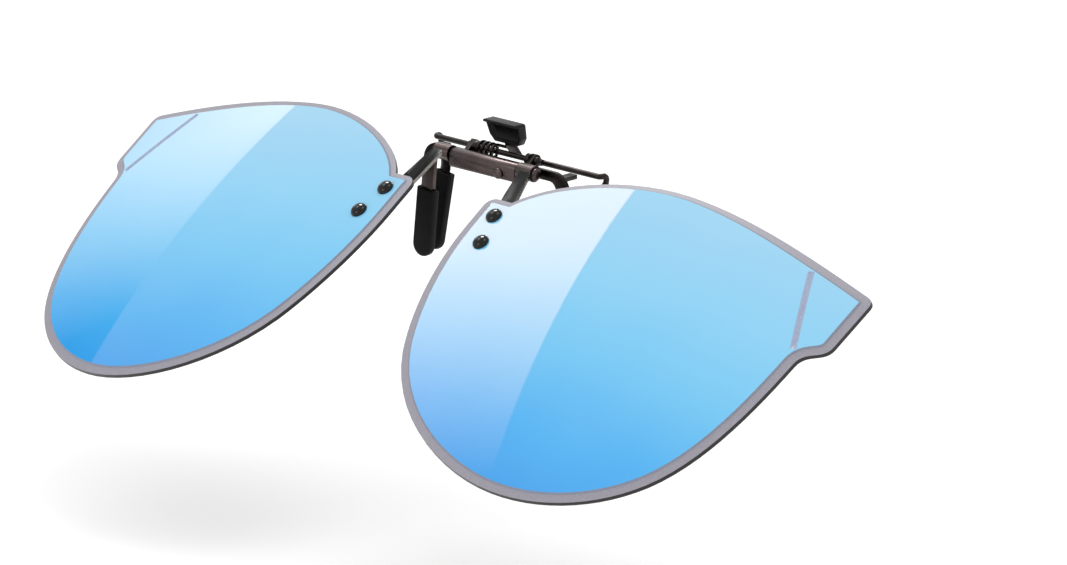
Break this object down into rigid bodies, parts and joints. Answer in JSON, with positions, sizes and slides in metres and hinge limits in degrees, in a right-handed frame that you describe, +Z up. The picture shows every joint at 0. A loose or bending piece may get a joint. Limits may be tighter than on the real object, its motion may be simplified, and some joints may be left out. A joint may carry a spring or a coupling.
{
  "type": "flip-up clip-on sunglasses",
  "caption": "Flip-up clip-on sunglasses: blue mirror lenses that flip on a spindle, on a stamped bracket with a sprung rear jaw and rubber-sleeved claws.",
  "frame": {"origin": "middle of the gripped lens, between the claws and half way down their sleeves", "axes": "+X to the wearer's left, which is the right in a front view; +Y back towards the wearer; +Z up; the front faces -Y"},
  "size_m": [0.1386, 0.0462, 0.0362],
  "materials": {
    "gunmetal": "satin plated",
    "steel": "polished",
    "black_metal": "gloss black",
    "rubber": "matte",
    "lever": "satin black",
    "lens": "blue mirror on grey",
    "nylon": "natural"
  },
  "bodies": {
    "clip_base": {"front_bracket": "gunmetal", "front_sleeve_left": "rubber", "front_sleeve_right": "rubber", "jaw_pin": "steel", "jaw_spring": "steel", "detent_leaf": "steel", "detent_rivet": "steel"},
    "rear_jaw_body": {"rear_jaw": "gunmetal", "rear_sleeve_left": "rubber", "rear_sleeve_right": "rubber", "thumb_lever": "lever"},
    "lens_carrier": {"flip_spindle": "steel", "lens_arm_left": "black_metal", "lens_arm_right": "black_metal", "lens_left": "lens", "lens_right": "lens", "rivet_upper_left": "black_metal", "rivet_upper_right": "black_metal", "rivet_lower_left": "black_metal", "rivet_lower_right": "black_metal", "washer_upper_left": "nylon", "washer_upper_right": "nylon", "washer_lower_left": "nylon", "washer_lower_right": "nylon"}
  },
  "joints": [
    {"name": "lens_flip", "type": "hinge", "parent": "clip_base", "child": "lens_carrier", "pos_m": [0, -0.0036, 0.0116], "axis": [-1, 0, 0], "range_deg": [-53, 37]},
    {"name": "jaw_open", "type": "hinge", "parent": "clip_base", "child": "rear_jaw_body", "pos_m": [0, -0.00015, 0.0122], "axis": [1, 0, 0], "range_deg": [0, 28], "stiffness_Nm_per_rad": 0.04, "springref_deg": -28.65, "deforming": ["jaw_spring"]}
  ]
}
